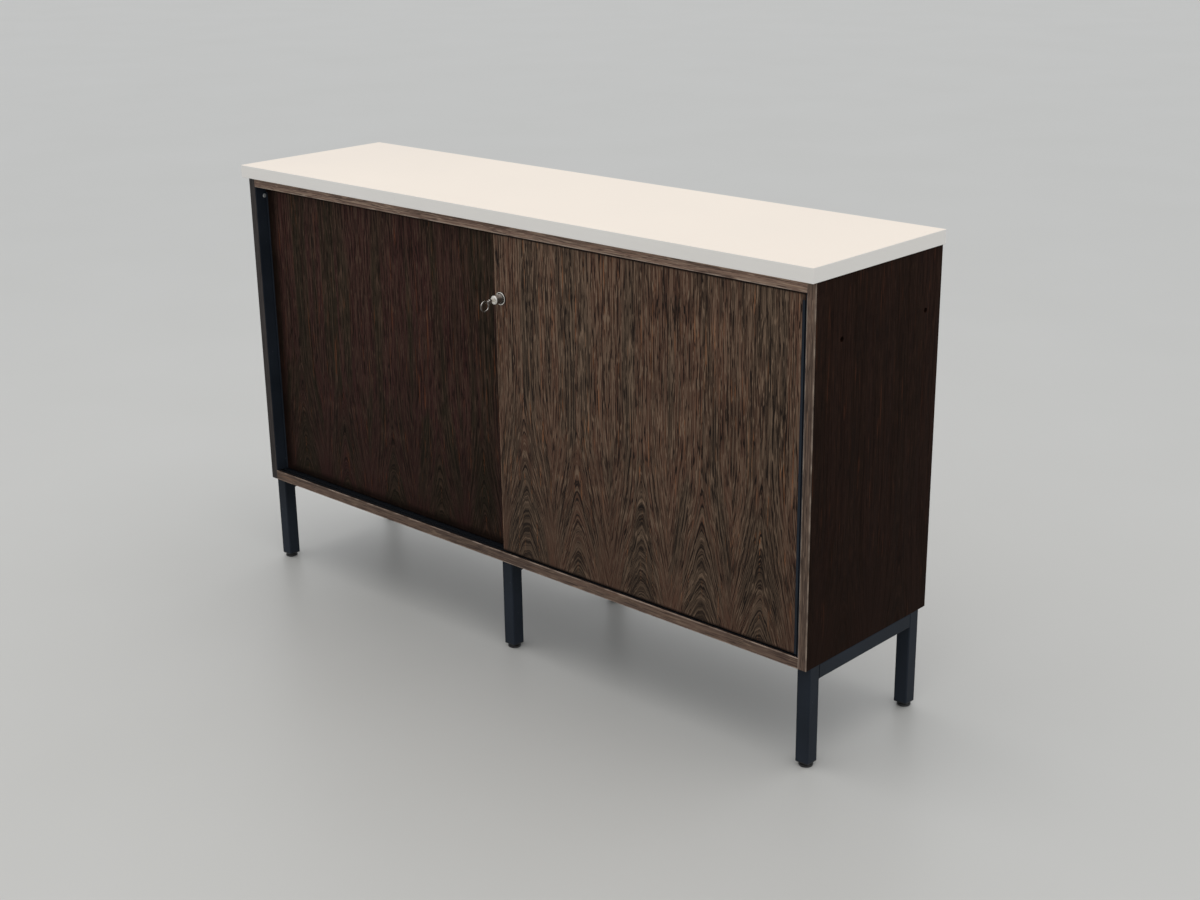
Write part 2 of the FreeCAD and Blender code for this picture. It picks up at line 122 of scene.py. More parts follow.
bpy.ops.mesh.primitive_plane_add(size=FLOOR_SIZE, location=(0, 0, 0))
floor = bpy.context.object
floor.name = "studio_floor"
floor_paint, tree, skin = new_material("floor_paint")
spot = add_node(tree, "TexCoord")["Object"]
cloudy = add_node(tree, "TexNoise", None,
                  {"Vector": spot, "Scale": FLOOR_CLOUDS_PER_M, "Detail": 3.0})[0]
pale = add_node(tree, "Mix", COLOUR_MIX, {0: cloudy, 6: colour("#c6c5c1"), 7: colour("#cccbc8")})[2]
rays = add_node(tree, "LightPath")
seen = rays["Is Camera Ray"]
for ray in ("Is Glossy Ray", "Is Transmission Ray"):
    seen = add_node(tree, "Math", {"operation": "MAXIMUM"}, {0: seen, 1: rays[ray]})[0]
shown = add_node(tree, "Mix", COLOUR_MIX, {0: seen, 6: colour("#a4a39e"), 7: pale})[2]
tree.links.new(shown, skin.inputs["Base Color"])
skin.inputs["Roughness"].default_value = 0.4
floor.data.materials.append(floor_paint)
floor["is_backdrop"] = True


# Base frames: three frames of 30 mm square steel tube, each two legs and a rail welded between them.
# Stoved dark blue-grey enamel: a satin skin with a faint orange peel, uneven tone and a few small chips.
FRAMES = ("left", "middle", "right")
PEEL_MM, UNEVEN_MM, CHIP_MM = 1.6, 140.0, 9.0


def dress(material, *names):
    for name in names:
        nodes[name].data.materials.clear()
        nodes[name].data.materials.append(material)


enamel, tree, skin = new_material("blue_grey_stoved_enamel")
spot = add_node(tree, "TexCoord")["Object"]
peel = add_node(tree, "TexNoise", None, {"Vector": spot, "Scale": 1000 / PEEL_MM, "Detail": 1.0})[0]
cloud = add_node(tree, "TexNoise", None, {"Vector": spot, "Scale": 1000 / UNEVEN_MM, "Detail": 4.0})[0]
chip = add_node(tree, "TexNoise", None, {"Vector": spot, "Scale": 1000 / CHIP_MM, "Detail": 2.0})[0]
chipped = add_node(tree, "MapRange", None, {0: chip, 1: 0.735, 2: 0.76})[0]
tone = add_node(tree, "MapRange", None, {0: cloud, 1: 0.3, 2: 0.7})[0]
blue_grey = add_node(tree, "Mix", COLOUR_MIX, {0: tone, 6: colour("#23282f"), 7: colour("#2d333c")})[2]
worn_grey = add_node(tree, "Mix", COLOUR_MIX, {0: chipped, 6: blue_grey, 7: colour("#454a51")})[2]
tree.links.new(worn_grey, skin.inputs["Base Color"])
satin = add_node(tree, "MapRange", None, {0: cloud, 1: 0.3, 2: 0.7, 3: 0.36, 4: 0.52})[0]
tree.links.new(satin, skin.inputs["Roughness"])
relief = add_node(tree, "Bump", None, {"Strength": 0.12, "Distance": 0.0002, "Height": peel})[0]
tree.links.new(relief, skin.inputs["Normal"])
skin.inputs["Specular IOR Level"].default_value = 0.07
for side in FRAMES:
    dress(enamel, side + "_rail", side + "_front_leg", side + "_back_leg")

# Weld beads: steel run into the corners between each rail and its legs, rippled by the passes of the
# torch and painted over with the frame.
ENDS = ("front", "back")
BEAD_RADIUS, BEAD_LENGTH = 0.0026, 0.027
BEAD_RIPPLES, RIPPLE_DEPTH, BLUNT_END = 13, 0.12, 0.35


# Leaves the piece in edit mode, with only those edges selected whose two ends are wanted.
def select_edges(piece, wanted):
    bpy.context.tool_settings.mesh_select_mode = (False, True, False)
    bpy.ops.object.mode_set(mode="EDIT")
    bpy.ops.mesh.select_all(action="DESELECT")
    bpy.ops.object.mode_set(mode="OBJECT")
    for edge in piece.data.edges:
        edge.select = wanted(*(piece.data.vertices[i].co for i in edge.vertices))
    bpy.ops.object.mode_set(mode="EDIT")


def weld_bead(name, centre):
    bpy.ops.object.select_all(action="DESELECT")
    bpy.ops.mesh.primitive_cylinder_add(vertices=16, radius=BEAD_RADIUS, depth=BEAD_LENGTH,
                                        rotation=(0, math.pi / 2, 0))
    bead = bpy.context.object
    bead.name = name
    bpy.ops.object.transform_apply(location=True, rotation=True, scale=True)
    select_edges(bead, lambda start, end: abs(start.x - end.x) > BEAD_LENGTH / 2)
    bpy.ops.mesh.subdivide(number_cuts=2 * BEAD_RIPPLES)
    bpy.ops.object.mode_set(mode="OBJECT")
    for vertex in bead.data.vertices:
        ripple = math.cos(2 * math.pi * BEAD_RIPPLES * vertex.co.x / BEAD_LENGTH)
        wave = 1 - RIPPLE_DEPTH + RIPPLE_DEPTH * ripple
        end = min(1.0, (BEAD_LENGTH / 2 - abs(vertex.co.x)) / BEAD_RADIUS + BLUNT_END)
        vertex.co.y *= wave * end
        vertex.co.z *= wave * end
    bpy.ops.object.shade_smooth()
    bead.data.transform(Matrix.Translation(centre))
    bead.data.materials.append(enamel)
    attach(bead, "cabinet")


for side in FRAMES:
    low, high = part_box(side + "_rail")
    for end, y in zip(ENDS, (low.y, high.y)):
        weld_bead(side + "_" + end + "_weld", Vector(((low.x + high.x) / 2, y, low.z)))


# Levelling feet: black nylon glides moulded round a zinc-plated stud, screwed into plugs in the legs.
# The glide is dished below, has a rounded rim, and a hexagon above it takes the spanner.
NYLON_GRAIN_MM, SCUFF_MM = 0.8, 7.0
ZINC_SPANGLE_MM = 2.0
GLIDE_RADIUS, GLIDE_HEIGHT, GLIDE_ROUND = 0.014, 0.005, 0.0016
GLIDE_DISH_RIM, GLIDE_DISH_DEPTH, GLIDE_SMOOTH_DEG = 0.004, 0.0008, 40.0
NUT_CORNER_RADIUS, NUT_HEIGHT, NUT_CHAMFER = 0.0075, 0.0038, 0.0006
STUD_RADIUS, STUD_LENGTH, STUD_PITCH, THREAD_ROOT = 0.0039, 0.030, 0.00125, 0.86

# Moulded nylon: black with a dull sheen, greyed by scuffs. Its fine grain is drawn coarser, to show.
nylon, tree, skin = new_material("black_moulded_nylon")
spot = add_node(tree, "TexCoord")["Object"]
grain = add_node(tree, "TexNoise", None,
                 {"Vector": spot, "Scale": 1000 / NYLON_GRAIN_MM, "Detail": 2.0})[0]
scuff = add_node(tree, "TexNoise", None, {"Vector": spot, "Scale": 1000 / SCUFF_MM, "Detail": 3.0})[0]
scuffed = add_node(tree, "MapRange", None, {0: scuff, 1: 0.45, 2: 0.75})[0]
black = add_node(tree, "Mix", COLOUR_MIX, {0: scuffed, 6: colour("#101113"), 7: colour("#2a2b2d")})[2]
tree.links.new(black, skin.inputs["Base Color"])
dull = add_node(tree, "MapRange", None, {0: scuff, 1: 0.3, 2: 0.7, 3: 0.3, 4: 0.5})[0]
tree.links.new(dull, skin.inputs["Roughness"])
relief = add_node(tree, "Bump", None, {"Strength": 0.2, "Distance": 0.0001, "Height": grain})[0]
tree.links.new(relief, skin.inputs["Normal"])
dress(nylon, "leg_plugs")

# Bright zinc plating: pale blue-white metal with a faint spangle, hazed by age.
zinc, tree, skin = new_material("zinc_plated_steel")
spot = add_node(tree, "TexCoord")["Object"]
spangle = add_node(tree, "TexNoise", None,
                   {"Vector": spot, "Scale": 1000 / ZINC_SPANGLE_MM, "Detail": 3.0})[0]
plate = add_node(tree, "Mix", COLOUR_MIX, {0: spangle, 6: colour("#b4b7b9"), 7: colour("#dedfdd")})[2]
tree.links.new(plate, skin.inputs["Base Color"])
dull = add_node(tree, "MapRange", None, {0: spangle, 1: 0.3, 2: 0.7, 3: 0.3, 4: 0.5})[0]
tree.links.new(dull, skin.inputs["Roughness"])
skin.inputs["Metallic"].default_value = 0.7


def rim_edges(piece, z, radius_from):
    def on_rim(point):
        return abs(point.z - z) < 1e-6 and math.hypot(point.x, point.y) > radius_from

    select_edges(piece, lambda start, end: on_rim(start) and on_rim(end))


bpy.ops.object.select_all(action="DESELECT")
bpy.ops.mesh.primitive_cylinder_add(vertices=48, radius=GLIDE_RADIUS, depth=GLIDE_HEIGHT)
glide = bpy.context.object
glide.data.transform(Matrix.Translation((0, 0, GLIDE_HEIGHT / 2)))
for level in (0.0, GLIDE_HEIGHT):
    rim_edges(glide, level, GLIDE_RADIUS * 0.9)
    bpy.ops.mesh.bevel(offset=GLIDE_ROUND, segments=4, affect="EDGES")
    bpy.ops.object.mode_set(mode="OBJECT")
bpy.context.tool_settings.mesh_select_mode = (False, False, True)
for face in glide.data.polygons:
    face.select = face.normal.z < -0.99
bpy.ops.object.mode_set(mode="EDIT")
bpy.ops.mesh.inset(thickness=GLIDE_DISH_RIM, depth=-GLIDE_DISH_DEPTH)
bpy.ops.object.mode_set(mode="OBJECT")
glide.data.materials.append(nylon)
bpy.ops.object.shade_smooth_by_angle(angle=math.radians(GLIDE_SMOOTH_DEG))

bpy.ops.object.select_all(action="DESELECT")
bpy.ops.mesh.primitive_cylinder_add(vertices=6, radius=NUT_CORNER_RADIUS, depth=NUT_HEIGHT)
nut = bpy.context.object
nut.data.transform(Matrix.Translation((0, 0, GLIDE_HEIGHT + NUT_HEIGHT / 2)))
rim_edges(nut, GLIDE_HEIGHT + NUT_HEIGHT, 0.0)
bpy.ops.mesh.bevel(offset=NUT_CHAMFER, segments=2, affect="EDGES")
bpy.ops.object.mode_set(mode="OBJECT")
nut.data.materials.append(zinc)

thread_turns = int(STUD_LENGTH / STUD_PITCH)
bpy.ops.object.select_all(action="DESELECT")
bpy.ops.mesh.primitive_cylinder_add(vertices=24, radius=STUD_RADIUS, depth=STUD_LENGTH)
stud = bpy.context.object
stud.data.transform(Matrix.Translation((0, 0, GLIDE_HEIGHT + STUD_LENGTH / 2)))
select_edges(stud, lambda start, end: abs(start.z - end.z) > STUD_LENGTH / 2)
bpy.ops.mesh.subdivide(number_cuts=2 * thread_turns - 1)
bpy.ops.object.mode_set(mode="OBJECT")
for vertex in stud.data.vertices:
    half_turn = round((vertex.co.z - GLIDE_HEIGHT) / STUD_LENGTH * 2 * thread_turns)
    if half_turn % 2:
        vertex.co.x *= THREAD_ROOT
        vertex.co.y *= THREAD_ROOT
stud.data.materials.append(zinc)

bpy.ops.object.select_all(action="DESELECT")
for piece in (stud, nut, glide):
    piece.select_set(True)
bpy.context.view_layer.objects.active = glide
bpy.ops.object.join()
pattern_foot = bpy.context.object
for side in FRAMES:
    for end in ENDS:
        place = side + "_" + end + "_foot"
        low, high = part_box(place)
        foot = bpy.data.objects.new(place + "_glide", pattern_foot.data.copy())
        bpy.context.scene.collection.objects.link(foot)
        foot.data.transform(Matrix.Translation(((low.x + high.x) / 2, (low.y + high.y) / 2, low.z)))
        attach(foot, place)
        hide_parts(place)
bpy.data.objects.remove(pattern_foot)


# Carcass boards: chipboard veneered in wenge, sanded and oiled. The sides stand full height, grain upright.
# The top and bottom boards lie between them on dowels. Partition and shelves are veneered alike.
# Oiled wenge has ruddy and olive-brown bands, fine black and tan lines, open pores and little gloss.
SMOOTH = {"interpolation_type": "SMOOTHSTEP"}
# A figure is the height where the arches start, where they are closest, and how far they climb between.
# This one starts far below the floor, so the grain stays straight.
STRAIGHT_MM = (-5000.0, -6000.0, 0.0)
HEART_WANDER_MM, HEART_REACH_MM = 20.0, 40.0
ARCH_DROP_MM, ARCH_BEND = 110.0, 1.7
LEAST_TIP_MM, SHARP_TIP_MM, ROUND_TIP_MM = 1.5, 5.0, 28.0
# Sways of the grain: width and length of a sway, and how far it carries the grain aside.
SWAYS_MM = ((110.0, 420.0, 20.0), (11.0, 60.0, 5.5))
# Width and length of each mark in the wood.
BAND_MM, INK_LINE_MM, PALE_LINE_MM = (38.0, 560.0), (3.7, 340.0), (4.6, 300.0)
PORE_MM, STREAK_MM = (2.4, 32.0), (4.6, 120.0)
LINE_REACH = 0.055
CORE_MM, CROWDED_MM, LEAF_EDGE_MM = (8.0, 66.0), 25.0, (45.0, 72.0)
CLOUD_MM, RUB_MM = 260.0, 35.0
# Painted light: between these heights the wood grows lighter towards the top.
TOP_LIGHT_FROM_MM, TOP_LIGHT_TO_MM = 230.0, 920.0


# Leaves of veneer lie side by side, cut one after another from the same log. In a flat-cut leaf the
# growth rings come out as arches about the heart, closer towards one end, with sharp or round tips,
# and run nearly straight by the leaf's edges.
def flat_cut_rings(tree, upright, across, leaf_mm, leaf_start, figure):
    figure_top, figure_bottom, figure_rise = figure
    from_start = add_node(tree, "Math", {"operation": "SUBTRACT"}, {0: across, 1: leaf_start})[0]
    leaves = add_node(tree, "Math", {"operation": "DIVIDE"}, {0: from_start, 1: leaf_mm})[0]
    leaf = add_node(tree, "Math", {"operation": "ROUND"}, {0: leaves})[0]
    in_leaf = add_node(tree, "Math", {"operation": "SUBTRACT"}, {0: leaves, 1: leaf})[0]
    cut = add_node(tree, "TexWhiteNoise", {"noise_dimensions": "1D"}, {"W": leaf})
    chance = add_node(tree, "SeparateColor", None, {0: cut[1]})
    heart = add_node(tree, "MapRange", None,
                     {0: cut[0], 3: HEART_WANDER_MM / 2, 4: -HEART_WANDER_MM / 2})[0]
    off_heart = add_node(tree, "Math", {"operation": "MULTIPLY_ADD"},
                         {0: in_leaf, 1: leaf_mm, 2: heart})[0]
    aside = add_node(tree, "Math", {"operation": "ABSOLUTE"}, {0: off_heart})[0]
    height_in_leaf = add_node(tree, "Math", {"operation": "MULTIPLY_ADD"},
                              {0: chance["Green"], 1: ARCH_DROP_MM, 2: upright})[0]

    lower = add_node(tree, "MapRange", None, {0: height_in_leaf, 1: figure_top, 2: figure_bottom})[0]
    curve = add_node(tree, "Math", {"operation": "POWER"}, {0: lower, 1: ARCH_BEND})[0]
    climb = add_node(tree, "Math", {"operation": "MULTIPLY"}, {0: curve, 1: figure_rise})[0]
    roundness = add_node(tree, "MapRange", None,
                         {0: chance["Blue"], 3: SHARP_TIP_MM, 4: ROUND_TIP_MM})[0]
    tip = add_node(tree, "Math", {"operation": "MULTIPLY_ADD"},
                   {0: roundness, 1: lower, 2: LEAST_TIP_MM})[0]
    tip_squared = add_node(tree, "Math", {"operation": "MULTIPLY"}, {0: tip, 1: tip})[0]
    squared = add_node(tree, "Math", {"operation": "MULTIPLY_ADD"},
                       {0: aside, 1: aside, 2: tip_squared})[0]
    arch = add_node(tree, "Math", {"operation": "SQRT"}, {0: squared})[0]
    hearty = add_node(tree, "MapRange", SMOOTH,
                      {0: aside, 1: HEART_REACH_MM, 2: leaf_mm / 2, 3: 1.0, 4: 0.8})[0]
    raised = add_node(tree, "Math", {"operation": "MULTIPLY"}, {0: climb, 1: hearty})[0]
    ring = add_node(tree, "Math", {"operation": "SUBTRACT"}, {0: arch, 1: raised})[0]

    restless = add_node(tree, "MapRange", None, {0: lower, 2: 0.6, 3: 0.12, 4: 1.0})[0]
    for (width, length, sway), unrest in zip(SWAYS_MM, (1.0, restless)):
        wide = add_node(tree, "Math", {"operation": "DIVIDE"}, {0: across, 1: width})[0]
        long = add_node(tree, "Math", {"operation": "DIVIDE"}, {0: upright, 1: length})[0]
        place = add_node(tree, "CombineXYZ", None, {0: wide, 1: long, 2: leaf})[0]
        drift = add_node(tree, "TexNoise", None, {"Vector": place, "Scale": 1.0, "Detail": 2.0})[0]
        shift = add_node(tree, "MapRange", None, {0: drift, 3: -sway / 2, 4: sway / 2})[0]
        ring = add_node(tree, "Math", {"operation": "MULTIPLY_ADD"}, {0: shift, 1: unrest, 2: ring})[0]

    # The two halves of a leaf mirror each other only in the arches.
    half = add_node(tree, "Math", {"operation": "SIGN"}, {0: off_heart})[0]
    apart = add_node(tree, "MapRange", SMOOTH, {0: lower, 2: 0.3, 3: 0.45, 4: 0.0})[0]
    sideways = add_node(tree, "Math", {"operation": "MULTIPLY_ADD"}, {0: half, 1: apart, 2: leaf})[0]
    return ring, sideways, aside, curve


# Handled edges are rubbed paler, and edges against another board are darkened, partly by dirt and partly
# by painted shade. An edge is the axis it lies square to, its place on that axis and how far the mark
# reaches.
def edge_wear_and_shade(tree, spot, mm, body, wear_and_shade):
    rub = add_node(tree, "TexNoise", None, {"Vector": spot, "Scale": 1000 / RUB_MM, "Detail": 4.0})[0]
    for edges, tone, least, most in wear_and_shade:
        touched = 0.0
        for axis, edge_mm, reach in edges:
            away = add_node(tree, "Math", {"operation": "SUBTRACT"}, {0: mm[axis], 1: edge_mm})[0]
            near = add_node(tree, "Math", {"operation": "ABSOLUTE"}, {0: away})[0]
            close = add_node(tree, "MapRange", None, {0: near, 1: reach, 2: reach * 0.4})[0]
            touched = add_node(tree, "Math", {"operation": "MAXIMUM"}, {0: close, 1: touched})[0]
        patchy = add_node(tree, "MapRange", None, {0: rub, 1: 0.38, 2: 0.62, 3: least, 4: most})[0]
        amount = add_node(tree, "Math", {"operation": "MULTIPLY"}, {0: touched, 1: patchy})[0]
        body = add_node(tree, "Mix", COLOUR_MIX, {0: amount, 6: body, 7: tone})[2]
    return body


# The tones are the ruddy and olive bands, the ink and tan lines, the rust streaks and the bare wood.
# The edges that darken hold dirt and painted shade, and the range of tone by height is painted light.
def wenge(name, tones, along, leaf_mm, leaf_start, figure=STRAIGHT_MM, worn=(), dirt_and_shade=(), contrast=0.9,
          top_light_range=(0.85, 1.1), roughness=0.5, specular=0.1):
    ruddy, olive, ink, tan, rust, bare = (colour(tone) for tone in tones)
    material, tree, skin = new_material(name)
    spot = add_node(tree, "TexCoord")["Object"]
    axes = add_node(tree, "SeparateXYZ", None, {0: spot})
    mm = {}
    for axis in "XYZ":
        mm[axis] = add_node(tree, "Math", {"operation": "MULTIPLY"}, {0: axes[axis], 1: 1000.0})[0]

    # Both directions across the grain count, so that the grain runs on over a board's edges.
    beside = [mm[axis] for axis in "XYZ" if axis != along]
    across = add_node(tree, "Math", {"operation": "ADD"}, {0: beside[0], 1: beside[1]})[0]
    ring, sideways, aside, curve = flat_cut_rings(tree, mm[along], across, leaf_mm, leaf_start, figure)

    # Bands, lines and pores follow the rings, and the rust streaks run straight along the leaf.
    # Lines and pores are drawn coarser than the real 0.3 mm, to show.
    strands = []
    for course, (width, length) in ((ring, BAND_MM), (ring, INK_LINE_MM), (ring, PALE_LINE_MM),
                                    (ring, PORE_MM), (across, STREAK_MM)):
        wide = add_node(tree, "Math", {"operation": "DIVIDE"}, {0: course, 1: width})[0]
        long = add_node(tree, "Math", {"operation": "DIVIDE"}, {0: mm[along], 1: length})[0]
        place = add_node(tree, "CombineXYZ", None, {0: wide, 1: long, 2: sideways})[0]
        strand = add_node(tree, "TexNoise", None, {"Vector": place, "Scale": 1.0, "Detail": 2.0})[0]
        strands.append(strand)
    bands, inky, pale, pores, streaks = strands

    # The heart of an arch is more olive than its flanks.
    core = add_node(tree, "MapRange", None,
                    {0: aside, 1: CORE_MM[1], 2: CORE_MM[0], 3: -0.14, 4: 0.26})[0]
    dusk = add_node(tree, "Math", {"operation": "MULTIPLY_ADD"}, {0: core, 1: curve, 2: bands})[0]
    earthy = add_node(tree, "MapRange", SMOOTH, {0: dusk, 1: 0.4, 2: 0.62})[0]
    body = add_node(tree, "Mix", COLOUR_MIX, {0: earthy, 6: ruddy, 7: olive})[2]
    streaky = add_node(tree, "MapRange", None, {0: streaks, 1: 0.63, 2: 0.71, 3: 0.0, 4: 0.8})[0]
    body = add_node(tree, "Mix", COLOUR_MIX, {0: streaky, 6: body, 7: rust})[2]

    # Among the arches the lines are fainter at the heart, where they crowd, and by the leaf's edges.
    by_heart = add_node(tree, "MapRange", None, {0: aside, 2: CROWDED_MM, 3: 0.42, 4: 0.85})[0]
    by_edge = add_node(tree, "MapRange", None,
                       {0: aside, 1: LEAF_EDGE_MM[0], 2: LEAF_EDGE_MM[1], 3: 1.0, 4: 0.3})[0]
    clear = add_node(tree, "Math", {"operation": "MULTIPLY"}, {0: by_heart, 1: by_edge})[0]
    softer = add_node(tree, "Math", {"operation": "SUBTRACT"}, {0: clear, 1: 1.0})[0]
    drawn = add_node(tree, "Math", {"operation": "MULTIPLY_ADD"}, {0: softer, 1: curve, 2: 1.0})[0]
    strength = add_node(tree, "Math", {"operation": "MULTIPLY"}, {0: drawn, 1: contrast})[0]
    for strand, tone, weight in ((inky, ink, 1.0), (pale, tan, 0.55)):
        away = add_node(tree, "Math", {"operation": "SUBTRACT"}, {0: strand, 1: 0.5})[0]
        near = add_node(tree, "Math", {"operation": "ABSOLUTE"}, {0: away})[0]
        depth = add_node(tree, "Math", {"operation": "MULTIPLY"}, {0: strength, 1: weight})[0]
        line = add_node(tree, "MapRange", None,
                        {0: near, 1: LINE_REACH, 2: LINE_REACH / 5, 3: 0.0, 4: depth})[0]
        body = add_node(tree, "Mix", COLOUR_MIX, {0: line, 6: body, 7: tone})[2]
    for filled_from, filled_to, tone in ((0.58, 0.68, tan), (0.42, 0.33, ink)):
        dash = add_node(tree, "MapRange", None,
                        {0: pores, 1: filled_from, 2: filled_to, 3: 0.0, 4: strength})[0]
        body = add_node(tree, "Mix", COLOUR_MIX, {0: dash, 6: body, 7: tone})[2]

    # Painted light and shade: the wood is made lighter towards the top and darker towards the bottom, as
    # the light falls from above.
    cloud = add_node(tree, "TexNoise", None, {"Vector": spot, "Scale": 1000 / CLOUD_MM, "Detail": 2.0})[0]
    shade = add_node(tree, "MapRange", None, {0: cloud, 1: 0.3, 2: 0.7, 3: 0.88, 4: 1.12})[0]
    top_light_tone = add_node(tree, "MapRange", None,
                     {0: mm["Z"], 1: TOP_LIGHT_FROM_MM, 2: TOP_LIGHT_TO_MM, 3: top_light_range[0], 4: top_light_range[1]})[0]
    value = add_node(tree, "Math", {"operation": "MULTIPLY"}, {0: shade, 1: top_light_tone})[0]
    body = add_node(tree, "HueSaturation", None, {"Value": value, "Color": body})[0]
    body = edge_wear_and_shade(tree, spot, mm, body, ((worn, bare, 0.1, 0.9), (dirt_and_shade, ink, 0.75, 0.95)))
    tree.links.new(body, skin.inputs["Base Color"])

    dull = add_node(tree, "MapRange", None,
                    {0: pale, 1: 0.35, 2: 0.65, 3: roughness, 4: roughness + 0.12})[0]
    tree.links.new(dull, skin.inputs["Roughness"])
    height = add_node(tree, "Math", {"operation": "MULTIPLY_ADD"}, {0: pores, 1: 0.6, 2: inky})[0]
    relief = add_node(tree, "Bump", None, {"Strength": 0.25, "Distance": 0.0004, "Height": height})[0]
    tree.links.new(relief, skin.inputs["Normal"])
    skin.inputs["Specular IOR Level"].default_value = specular
    return material


# Shorter edges than this belong to holes and notches, which stay sharp.
SHORTEST_ARRIS = 0.0135
ARRIS_TURN_DEG, FLAT_TURN_DEG = 60.0, 0.5
SIDE_ARRIS, SHELF_ARRIS, PARTITION_ARRIS = 0.0004, 0.0006, 0.0005


# A copy of a board with its long arrises sanded over, which stands for the sharp-edged solid.
def sanded(node, body, arris, material):
    piece = bpy.data.objects.new(node + "_sanded", nodes[node].data.copy())
    bpy.context.scene.collection.objects.link(piece)
    bpy.ops.object.select_all(action="DESELECT")
    piece.select_set(True)
    bpy.context.view_layer.objects.active = piece
    bpy.context.tool_settings.mesh_select_mode = (False, True, False)
    bpy.ops.object.mode_set(mode="EDIT")
    bpy.ops.mesh.select_all(action="SELECT")
    bpy.ops.mesh.remove_doubles(threshold=1e-6)
    bpy.ops.mesh.dissolve_limited(angle_limit=math.radians(FLAT_TURN_DEG))
    bpy.ops.mesh.select_all(action="DESELECT")
    bpy.ops.mesh.edges_select_sharp(sharpness=math.radians(ARRIS_TURN_DEG))
    bpy.ops.object.mode_set(mode="OBJECT")
    for edge in piece.data.edges:
        start, end = (piece.data.vertices[i].co for i in edge.vertices)
        edge.select = edge.select and (start - end).length > SHORTEST_ARRIS
    bpy.ops.object.mode_set(mode="EDIT")
    bpy.ops.mesh.bevel(offset=arris, segments=2, affect="EDGES", clamp_overlap=False)
    bpy.ops.object.mode_set(mode="OBJECT")
    if piece.data.has_custom_normals:
        bpy.ops.mesh.customdata_custom_splitnormals_clear()
    bpy.ops.object.shade_flat()
    piece.data.materials.clear()
    piece.data.materials.append(material)
    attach(piece, body)
    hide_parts(node)


SIDE_TONES = ("#251610", "#20130c", "#150b07", "#312018", "#452719", "#4c3d33")
INNER_TONES = ("#33241d", "#2b2018", "#1c120d", "#48372c", "#4d3423", "#4c3d33")
SIDE_FIGURE_MM = (520.0, 200.0, 40.0)
upright_side = wenge("oiled_wenge_side", SIDE_TONES, "Z", leaf_mm=190.0, leaf_start=740.0,
                     figure=SIDE_FIGURE_MM, contrast=0.75, specular=0.03)
flat_board = wenge("oiled_wenge_board", INNER_TONES, "X", leaf_mm=210.0, leaf_start=0.0, contrast=0.75)
upright_inner = wenge("oiled_wenge_partition", INNER_TONES, "Z", leaf_mm=210.0, leaf_start=30.0,
                      contrast=0.75)
dress(flat_board, "top_board", "bottom_board")
for side in ("left", "right"):
    sanded(side + "_side_panel", "cabinet", SIDE_ARRIS, upright_side)
    sanded(side + "_shelf", "cabinet", SHELF_ARRIS, flat_board)
sanded("centre_partition", "cabinet", PARTITION_ARRIS, upright_inner)

# Lippings: strips of solid wenge glued over the front edges of the carcass, grain along their length.
# Years of hands and cleaning have greyed them, and their arrises are rubbed pale.
TOP_LIPPING_TONES = ("#937767", "#7e6558", "#55443c", "#ae9683", "#a27e66", "#c1ae9f")
BOTTOM_LIPPING_TONES = ("#725b4f", "#604e44", "#45362e", "#8a7462", "#84634e", "#ab9788")
RIGHT_LIPPING_TONES = ("#6b564b", "#5b4a40", "#3d3029", "#836e5e", "#7d5f4b", "#a39283")
# Painted shade: the left lipping is the same wood as the right, given darker, greyer tones that stand for
# the shade on it.
SHADED_LEFT_LIPPING_TONES = ("#393332", "#332f2e", "#242120", "#453f3e", "#403835", "#4a4442")
LIPPING_LEAF_MM, LIPPING_START_MM = 400.0, 700.0
RUBBED_MM, SLAB_SHADOW_MM, LIPPING_ARRIS = 2.6, 4.0, 0.0005
bottom_low, bottom_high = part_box("bottom_lipping")
top_low, top_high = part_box("top_lipping")
# Painted shadow: a dark line along the top ends of the lippings, under the overhanging slab.
under_slab = ("Z", top_high.z * 1000, SLAB_SHADOW_MM)
top_grain = wenge("worn_wenge_top_lipping", TOP_LIPPING_TONES, "X", LIPPING_LEAF_MM, LIPPING_START_MM,
                  worn=(("Z", top_low.z * 1000, RUBBED_MM),), dirt_and_shade=(under_slab,), specular=0.2)
bottom_grain = wenge("worn_wenge_bottom_lipping", BOTTOM_LIPPING_TONES, "X", LIPPING_LEAF_MM,
                     LIPPING_START_MM, specular=0.2,
                     worn=(("Z", bottom_high.z * 1000, RUBBED_MM), ("Z", bottom_low.z * 1000, RUBBED_MM)))
for side, tones in (("left", SHADED_LEFT_LIPPING_TONES), ("right", RIGHT_LIPPING_TONES)):
    low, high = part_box(side + "_side_lipping")
    upright_grain = wenge("worn_wenge_" + side + "_lipping", tones, "Z", LIPPING_LEAF_MM, LIPPING_START_MM,
                          worn=(("X", low.x * 1000, RUBBED_MM), ("X", high.x * 1000, RUBBED_MM)),
                          dirt_and_shade=(under_slab,), specular=0.2)
    sanded(side + "_side_lipping", "cabinet", LIPPING_ARRIS, upright_grain)
sanded("top_lipping", "cabinet", LIPPING_ARRIS, top_grain)
sanded("bottom_lipping", "cabinet", LIPPING_ARRIS, bottom_grain)

# Dowels and shelf pins: beech dowels glued into the joints of the boards, and zinc-plated steel pins
# pushed into the rows of holes under the shelves. Steamed beech is pinkish, with small ray flecks.
RAY_FLECK_MM = 3.0
beech, tree, skin = new_material("steamed_beech")
spot = add_node(tree, "TexCoord")["Object"]
fleck = add_node(tree, "TexNoise", None,
                 {"Vector": spot, "Scale": 1000 / RAY_FLECK_MM, "Detail": 2.0})[0]
pinkish = add_node(tree, "Mix", COLOUR_MIX, {0: fleck, 6: colour("#b58a62"), 7: colour("#d8b48c")})[2]
tree.links.new(pinkish, skin.inputs["Base Color"])
skin.inputs["Roughness"].default_value = 0.6
dress(beech, "carcass_dowels")
dress(zinc, "shelf_pins")

